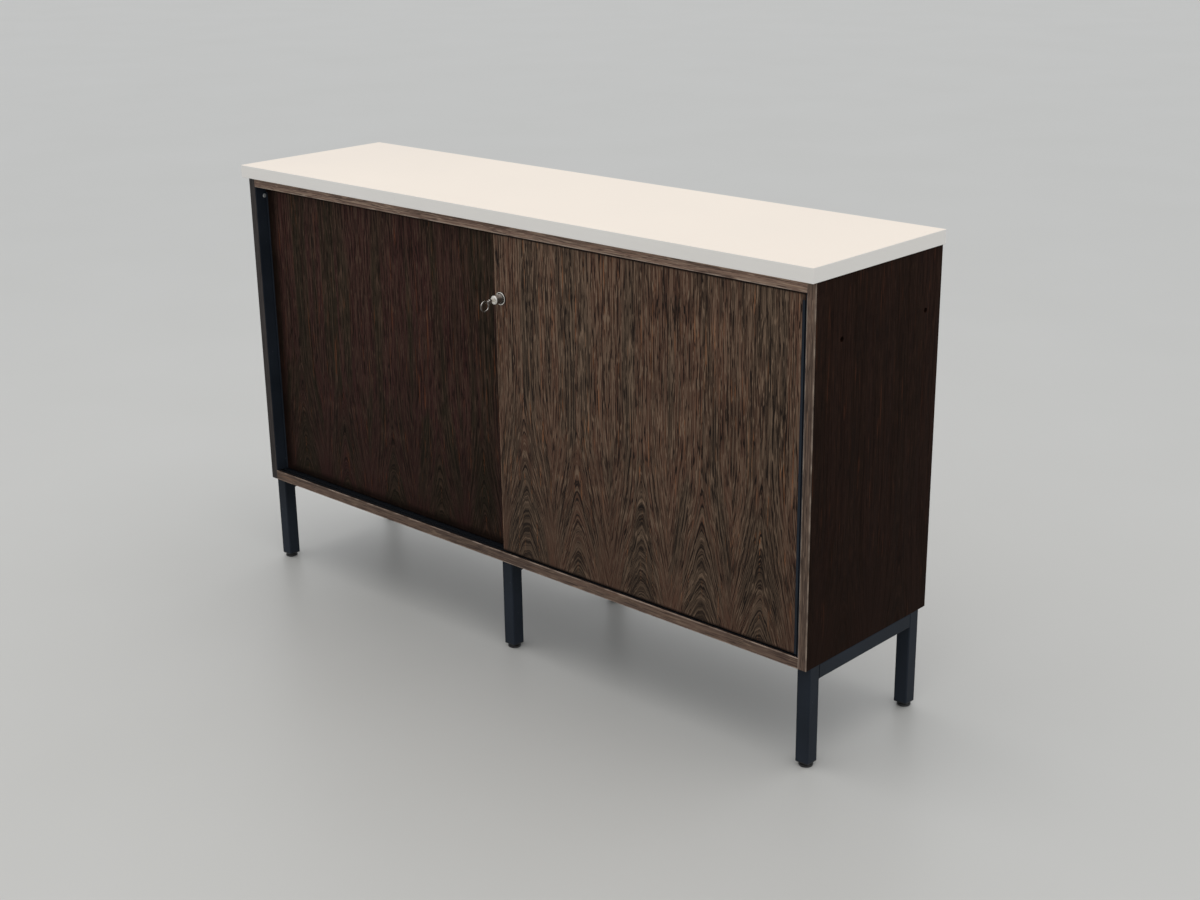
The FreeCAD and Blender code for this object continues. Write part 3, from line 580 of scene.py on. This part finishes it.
# Back panel: tempered hardboard in a rebate, rough side out, with the print of the pressing screen.
# The screen's real 1.2 mm mesh is drawn at 3 mm, so that it shows.
SCREEN_MM, FIBRE_MM, STAIN_MM = 3.0, 6.0, 240.0
BACK_ARRIS = 0.0005
hardboard, tree, skin = new_material("tempered_hardboard")
spot = add_node(tree, "TexCoord")["Object"]
axes = add_node(tree, "SeparateXYZ", None, {0: spot})
weave = []
for axis in "XZ":
    turns = add_node(tree, "Math", {"operation": "MULTIPLY"},
                     {0: axes[axis], 1: 2 * math.pi * 1000 / SCREEN_MM})[0]
    weave.append(add_node(tree, "Math", {"operation": "SINE"}, {0: turns})[0])
screen = add_node(tree, "Math", {"operation": "MULTIPLY"}, {0: weave[0], 1: weave[1]})[0]
fibre = add_node(tree, "TexNoise", None, {"Vector": spot, "Scale": 1000 / FIBRE_MM, "Detail": 5.0})[0]
stain = add_node(tree, "TexNoise", None, {"Vector": spot, "Scale": 1000 / STAIN_MM, "Detail": 3.0})[0]
mottle = add_node(tree, "Math", {"operation": "MULTIPLY_ADD"}, {0: fibre, 1: 0.5, 2: stain})[0]
mottled = add_node(tree, "MapRange", None, {0: mottle, 1: 0.35, 2: 1.15})[0]
brown = add_node(tree, "Mix", COLOUR_MIX, {0: mottled, 6: colour("#3c2a1f"), 7: colour("#5d4433")})[2]
printed = add_node(tree, "MapRange", None, {0: screen, 1: -1.0, 2: 1.0, 3: 0.9, 4: 1.08})[0]
brown = add_node(tree, "HueSaturation", None, {"Value": printed, "Color": brown})[0]
tree.links.new(brown, skin.inputs["Base Color"])
skin.inputs["Roughness"].default_value = 0.72
skin.inputs["Specular IOR Level"].default_value = 0.25
relief = add_node(tree, "Bump", None, {"Strength": 0.3, "Distance": 0.0003, "Height": screen})[0]
tree.links.new(relief, skin.inputs["Normal"])
sanded("back_panel", "cabinet", BACK_ARRIS, hardboard)


# Screws and bolts: zinc-plated steel. Cross-recessed countersunk screws hold the back panel and the slab,
# slotted round heads the jamb strips, and socket-headed bolts run up through the rails.
COUNTERSUNK = {"head_radius": 0.004, "head_height": 0.0022, "neck_radius": 0.002, "rim": 0.0003,
               "shank_radius": 0.002, "slots": 2, "recess_size": 0.0046, "recess_depth": 0.0012}
SOCKET_HEAD = {"head_radius": 0.005, "head_height": 0.0035, "neck_radius": 0.005, "rim": 0.0006,
               "shank_radius": 0.0025, "slots": 0, "recess_size": 0.0023, "recess_depth": 0.002}
SLOT_WIDTH, SCREW_SMOOTH_DEG = 0.0012, 35.0
BACK_SCREW_LENGTH, SLAB_SCREW_LENGTH = 0.030, 0.040
SIDE_BOLT_LENGTH, MIDDLE_BOLT_LENGTH = 0.0735, 0.0485
SCREW_INSET, BOLT_INSET = 0.110, 0.045
SCREW_COLUMNS = 4


def cut_away(piece, cutter):
    bpy.context.view_layer.objects.active = piece
    recess = piece.modifiers.new("recess", "BOOLEAN")
    recess.object = cutter
    recess.operation = "DIFFERENCE"
    recess.solver = "EXACT"
    bpy.ops.object.modifier_apply(modifier="recess")
    bpy.data.objects.remove(cutter)


# A screw that points down, with the face of its head at the origin. With no slots, it has a hexagon
# socket.
def screw_pattern(length, head_radius, head_height, neck_radius, rim, shank_radius, slots, recess_size,
                  recess_depth):
    bpy.ops.object.select_all(action="DESELECT")
    bpy.ops.mesh.primitive_cone_add(vertices=32, radius1=neck_radius, radius2=head_radius,
                                    depth=head_height)
    screw = bpy.context.object
    screw.data.transform(Matrix.Translation((0, 0, -head_height / 2)))
    rim_edges(screw, 0.0, head_radius * 0.9)
    bpy.ops.mesh.bevel(offset=rim, segments=4, affect="EDGES")
    bpy.ops.object.mode_set(mode="OBJECT")
    if slots == 0:
        bpy.ops.mesh.primitive_cylinder_add(vertices=6, radius=recess_size, depth=2 * recess_depth)
        cut_away(screw, bpy.context.object)
    for turn in range(slots):
        bpy.ops.mesh.primitive_cube_add(size=1.0, rotation=(0, 0, turn * math.pi / 2))
        bpy.context.object.scale = (recess_size, SLOT_WIDTH, 2 * recess_depth)
        cut_away(screw, bpy.context.object)
    bpy.ops.object.select_all(action="DESELECT")
    bpy.ops.mesh.primitive_cylinder_add(vertices=16, radius=shank_radius, depth=length - head_height)
    shank = bpy.context.object
    shank.data.transform(Matrix.Translation((0, 0, -(length + head_height) / 2)))
    screw.select_set(True)
    bpy.context.view_layer.objects.active = screw
    bpy.ops.object.join()
    bpy.ops.object.shade_smooth_by_angle(angle=math.radians(SCREW_SMOOTH_DEG))
    return bpy.context.object


# Copies of screws at their places, with their heads facing outwards, joined to one piece.
def drive(name, node, patterns_and_places, outwards):
    turn = Vector((0, 0, 1)).rotation_difference(Vector(outwards)).to_matrix().to_4x4()
    bpy.ops.object.select_all(action="DESELECT")
    for pattern, place in patterns_and_places:
        screw = bpy.data.objects.new(name, pattern.data.copy())
        bpy.context.scene.collection.objects.link(screw)
        screw.data.transform(Matrix.Translation(place) @ turn)
        screw.data.materials.append(zinc)
        screw.select_set(True)
        bpy.context.view_layer.objects.active = screw
    if len(patterns_and_places) > 1:
        bpy.ops.object.join()
    driven = bpy.context.object
    driven.name = name
    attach(driven, "cabinet")
    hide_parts(node)


def spread(low, high, count):
    return [low + (high - low) * step / (count - 1) for step in range(count)]


bottom_low, bottom_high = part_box("bottom_board")
top_low, top_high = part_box("top_board")
inner_half = top_high.x
back_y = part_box("back_panel")[1].y
back_screw = screw_pattern(BACK_SCREW_LENGTH, **COUNTERSUNK)
back_screws = []
for x in spread(SCREW_INSET / 2 - inner_half, inner_half - SCREW_INSET / 2, SCREW_COLUMNS):
    for z in ((bottom_low.z + bottom_high.z) / 2, (top_low.z + top_high.z) / 2):
        back_screws.append((back_screw, (x, back_y, z)))
for z in (bottom_high.z + SCREW_INSET, top_low.z - SCREW_INSET):
    back_screws.append((back_screw, (0, back_y, z)))
drive("back_screw_heads", "back_screws", back_screws, (0, 1, 0))

slab_screw = screw_pattern(SLAB_SCREW_LENGTH, **COUNTERSUNK)
track_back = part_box("upper_track")[1].y
slab_screws = []
for x in spread(SCREW_INSET - inner_half, inner_half - SCREW_INSET, SCREW_COLUMNS):
    for y in (track_back + SCREW_INSET / 2, top_high.y - SCREW_INSET / 2):
        slab_screws.append((slab_screw, (x, y, top_low.z)))
drive("slab_screw_heads", "slab_screws", slab_screws, (0, 0, -1))

side_bolt = screw_pattern(SIDE_BOLT_LENGTH, **SOCKET_HEAD)
middle_bolt = screw_pattern(MIDDLE_BOLT_LENGTH, **SOCKET_HEAD)
frame_bolts = []
for side, board, bolt in (("left", "left_side_panel", side_bolt),
                          ("middle", "centre_partition", middle_bolt),
                          ("right", "right_side_panel", side_bolt)):
    board_low, board_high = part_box(board)
    rail_low, rail_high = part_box(side + "_rail")
    for y in (rail_low.y + BOLT_INSET, rail_high.y - BOLT_INSET):
        place = ((board_low.x + board_high.x) / 2, y, rail_low.z - SOCKET_HEAD["head_height"])
        frame_bolts.append((bolt, place))
drive("frame_bolt_heads", "frame_bolts", frame_bolts, (0, 0, -1))
for pattern in (back_screw, slab_screw, side_bolt, middle_bolt):
    bpy.data.objects.remove(pattern)

# Jamb strips: 46 mm strips of the same enamelled steel that cover the ends of the door tracks,
# each held by one slotted round-headed screw near the top.
ROUND_HEAD = {"head_radius": 0.0048, "head_height": 0.0022, "neck_radius": 0.0048, "rim": 0.0016,
              "shank_radius": 0.002, "slots": 1, "recess_size": 0.0105, "recess_depth": 0.0009}
JAMB_SCREW_LENGTH, JAMB_SCREW_DROP = 0.0182, 0.023
JAMB_ARRIS = 0.0003
jamb_screw = screw_pattern(JAMB_SCREW_LENGTH, **ROUND_HEAD)
for side, inwards in (("left", 1), ("right", -1)):
    low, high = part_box(side + "_jamb_strip")
    strip_face = high.x if side == "left" else low.x
    head_face = strip_face + inwards * ROUND_HEAD["head_height"]
    place = (head_face, (low.y + high.y) / 2, high.z - JAMB_SCREW_DROP)
    drive(side + "_jamb_screw_head", "jamb_screws", [(jamb_screw, place)], (inwards, 0, 0))
    sanded(side + "_jamb_strip", "cabinet", JAMB_ARRIS, enamel)
bpy.data.objects.remove(jamb_screw)

# Door tracks: extruded aluminium let into grooves in the top and bottom boards, dark anodised.
# The drawn surface has a dull sheen and fine lines along its length, drawn coarser here, to show.
DRAW_LINE_MM, DRAW_LINE_LENGTH_MM = 0.9, 180.0
anodised, tree, skin = new_material("dark_anodised_aluminium")
spot = add_node(tree, "TexCoord")["Object"]
axes = add_node(tree, "SeparateXYZ", None, {0: spot})
wide = add_node(tree, "Math", {"operation": "MULTIPLY"}, {0: axes["Y"], 1: 1000 / DRAW_LINE_MM})[0]
long = add_node(tree, "Math", {"operation": "MULTIPLY"},
                {0: axes["X"], 1: 1000 / DRAW_LINE_LENGTH_MM})[0]
place = add_node(tree, "CombineXYZ", None, {0: wide, 1: long, 2: axes["Z"]})[0]
drawn = add_node(tree, "TexNoise", None, {"Vector": place, "Scale": 1.0, "Detail": 2.0})[0]
slate = add_node(tree, "Mix", COLOUR_MIX, {0: drawn, 6: colour("#191c21"), 7: colour("#2c3037")})[2]
tree.links.new(slate, skin.inputs["Base Color"])
skin.inputs["Metallic"].default_value = 0.6
skin.inputs["Roughness"].default_value = 0.42
relief = add_node(tree, "Bump", None, {"Strength": 0.1, "Distance": 0.0002, "Height": drawn})[0]
tree.links.new(relief, skin.inputs["Normal"])
dress(anodised, "upper_track", "lower_track")

# Top slab: a 28 mm board faced with warm cream laminate, its edges banded in a cooler white strip.
# Hard, even and lightly textured, with a soft sheen and a few rubbed marks.
PIMPLE_MM, MARK_MM, CREAM_CLOUD_MM = 1.1, 5.0, 300.0
laminate, tree, skin = new_material("cream_high_pressure_laminate")
spot = add_node(tree, "TexCoord")["Object"]
facing = add_node(tree, "SeparateXYZ", None, {0: add_node(tree, "NewGeometry")["Normal"]})["Z"]
on_top = add_node(tree, "MapRange", None, {0: facing, 1: 0.55, 2: 0.8})[0]
cloud = add_node(tree, "TexNoise", None,
                 {"Vector": spot, "Scale": 1000 / CREAM_CLOUD_MM, "Detail": 3.0})[0]
cream = add_node(tree, "Mix", COLOUR_MIX, {0: cloud, 6: colour("#f2e5d7"), 7: colour("#f5eadd")})[2]
band = add_node(tree, "Mix", COLOUR_MIX, {0: cloud, 6: colour("#f8f4ee"), 7: colour("#fefbf7")})[2]
faced = add_node(tree, "Mix", COLOUR_MIX, {0: on_top, 6: band, 7: cream})[2]
speck = add_node(tree, "TexNoise", None, {"Vector": spot, "Scale": 1000 / MARK_MM, "Detail": 3.0})[0]
marked = add_node(tree, "MapRange", None, {0: speck, 1: 0.72, 2: 0.8, 3: 0.0, 4: 0.25})[0]
faced = add_node(tree, "Mix", COLOUR_MIX, {0: marked, 6: faced, 7: colour("#c9bba9")})[2]
tree.links.new(faced, skin.inputs["Base Color"])
sheen = add_node(tree, "MapRange", None, {0: cloud, 1: 0.3, 2: 0.7, 3: 0.34, 4: 0.46})[0]
tree.links.new(sheen, skin.inputs["Roughness"])
pimple = add_node(tree, "TexNoise", None, {"Vector": spot, "Scale": 1000 / PIMPLE_MM, "Detail": 1.0})[0]
relief = add_node(tree, "Bump", None, {"Strength": 0.08, "Distance": 0.0001, "Height": pimple})[0]
tree.links.new(relief, skin.inputs["Normal"])
skin.inputs["Specular IOR Level"].default_value = 0.35
dress(laminate, "top_slab")

# Sliding doors: 16 mm veneered panels with a steel cap on the outer edge, on nylon gliders and guides.
# The right one, in front, has faded grey-brown and shows flat-cut arches low down in five leaves.
# The left one, behind it, has kept its dark colour.
FADED_TONES = ("#664a3c", "#4a3c31", "#201713", "#87705d", "#a36d4a", "#9a7c66")
DARK_TONES = ("#3b2421", "#2b241a", "#150d09", "#4d3b31", "#663c24", "#57443a")
FADED_FIGURE_MM, DARK_FIGURE_MM = (660.0, 232.0, 110.0), (600.0, 232.0, 80.0)
DOOR_LEAF_MM, FADED_START_MM, DARK_START_MM = 156.0, 72.0, -690.0
DOOR_ARRIS = 0.0007
# How far dirt and painted shade reach from a door's lower and upper edges, and a painted shadow of the jamb
# strip from the left door's outer edge.
FADED_DIRT_AND_SHADE_MM, DARK_DIRT_AND_SHADE_MM, DARK_SIDE_SHADOW_MM = (5.0, 3.2), (20.0, 10.0), 44.0
right_low, right_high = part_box("right_door_panel")
left_low, left_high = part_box("left_door_panel")
# The ranges of tone by height in these two calls are painted light, lighter towards the top.
faded_door = wenge("faded_wenge_door", FADED_TONES, "Z", DOOR_LEAF_MM,
                   FADED_START_MM + right_low.y * 1000, figure=FADED_FIGURE_MM,
                   worn=(("X", right_low.x * 1000, RUBBED_MM),),
                   dirt_and_shade=(("Z", right_low.z * 1000, FADED_DIRT_AND_SHADE_MM[0]),
                           ("Z", right_high.z * 1000, FADED_DIRT_AND_SHADE_MM[1])),
                   contrast=1.1, top_light_range=(0.69, 0.99), roughness=0.48, specular=0.08)
dark_door = wenge("dark_wenge_door", DARK_TONES, "Z", DOOR_LEAF_MM,
                  DARK_START_MM + left_low.y * 1000, figure=DARK_FIGURE_MM,
                  dirt_and_shade=(("Z", left_low.z * 1000, DARK_DIRT_AND_SHADE_MM[0]),
                          ("Z", left_high.z * 1000, DARK_DIRT_AND_SHADE_MM[1]),
                          ("X", left_low.x * 1000, DARK_SIDE_SHADOW_MM)),
                  contrast=0.9, top_light_range=(0.71, 1.22), roughness=0.48, specular=0.04)
sanded("right_door_panel", "right_door", DOOR_ARRIS, faded_door)
sanded("left_door_panel", "left_door", DOOR_ARRIS, dark_door)
for side in ("left", "right"):
    dress(enamel, side + "_door_edge_cap")
    dress(nylon, side + "_door_gliders", side + "_door_guides")

# Push lock and key: turned brass, nickel plated. The rosette and sleeve sit in the right door, the barrel
# slides in the sleeve, the plug turns in the barrel, and the key has a bow that folds about a rivet.
# Handling has hazed the plating. Its hairline scratches are drawn coarser than they are, to show.
HAZE_MM, SCRATCH_MM = 4.0, 0.6
# Where the rosette's dish lies, and how dark its painted shade is.
DISH_DEPTH, DISH_REACH, DISH_SHADE = 0.0022, 0.0017, 0.92


def nickel_plate(name, metallic, smoothest, dullest):
    material, tree, skin = new_material(name)
    spot = add_node(tree, "TexCoord")
    haze = add_node(tree, "TexNoise", None, {"Vector": spot["Object"], "Scale": 1000 / HAZE_MM})[0]
    scratch = add_node(tree, "TexNoise", None, {"Vector": spot["Object"], "Scale": 1000 / SCRATCH_MM})[0]
    silver = add_node(tree, "Mix", COLOUR_MIX, {0: haze, 6: colour("#dcd6cd"), 7: colour("#f6f3ee")})[2]
    dull = add_node(tree, "MapRange", None, {0: haze, 1: 0.3, 2: 0.7, 3: smoothest, 4: dullest})[0]
    tree.links.new(dull, skin.inputs["Roughness"])
    skin.inputs["Metallic"].default_value = metallic
    relief = add_node(tree, "Bump", None, {"Strength": 0.06, "Distance": 0.0001, "Height": scratch})[0]
    tree.links.new(relief, skin.inputs["Normal"])
    return material, tree, skin, spot, silver


# Painted shade: the rosette's dish is darkened, as a hollow that its rim shades.
nickel, tree, skin, spot, silver = nickel_plate("nickel_plated_brass", metallic=0.86,
                                                smoothest=0.16, dullest=0.3)
deep = add_node(tree, "SeparateXYZ", None, {0: spot["Object"]})["Y"]
dish_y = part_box("lock_sleeve")[0].y + DISH_DEPTH
in_dish = add_node(tree, "Math", {"operation": "COMPARE"}, {0: deep, 1: dish_y, 2: DISH_REACH})[0]
dish_shade = add_node(tree, "Math", {"operation": "MULTIPLY"}, {0: in_dish, 1: DISH_SHADE})[0]
silver = add_node(tree, "Mix", COLOUR_MIX, {0: dish_shade, 6: silver, 7: colour("#1d1a18")})[2]
tree.links.new(silver, skin.inputs["Base Color"])
dress(nickel, "lock_sleeve", "lock_plug", "key_blade", "key_rivet", "strike_bush")

# The barrel is satin from the thumb that pushes it. Painted light and shade: bright on its face and top,
# which face the light, and dark on its flanks.
satin_nickel, tree, skin, spot, silver = nickel_plate("satin_nickel_plate", metallic=0.74,
                                                      smoothest=0.22, dullest=0.36)
turned = add_node(tree, "SeparateXYZ", None, {0: spot["Normal"]})
forwards = add_node(tree, "Math", {"operation": "MULTIPLY"}, {0: turned["Y"], 1: -1.0})[0]
facing_light = add_node(tree, "Math", {"operation": "MAXIMUM"}, {0: turned["Z"], 1: forwards})[0]
painted_shade = add_node(tree, "MapRange", None, {0: facing_light, 1: 0.8, 2: 0.3, 3: 0.0, 4: 0.8})[0]
silver = add_node(tree, "Mix", COLOUR_MIX, {0: painted_shade, 6: silver, 7: colour("#39332e")})[2]
tree.links.new(silver, skin.inputs["Base Color"])
dress(satin_nickel, "lock_barrel")

# Painted light and shade on the bow: bright on its upward faces, where the light falls, and dark elsewhere.
top_lit_nickel, tree, skin, spot, silver = nickel_plate("top_lit_nickel_plate", metallic=0.6,
                                                smoothest=0.2, dullest=0.35)
upwards = add_node(tree, "SeparateXYZ", None, {0: spot["Normal"]})["Z"]
painted_shade = add_node(tree, "MapRange", None, {0: upwards, 1: 0.75, 2: 0.25, 3: 0.0, 4: 0.85})[0]
silver = add_node(tree, "Mix", COLOUR_MIX, {0: painted_shade, 6: silver, 7: colour("#4a423c")})[2]
tree.links.new(silver, skin.inputs["Base Color"])
dress(top_lit_nickel, "key_bow")

low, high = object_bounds()
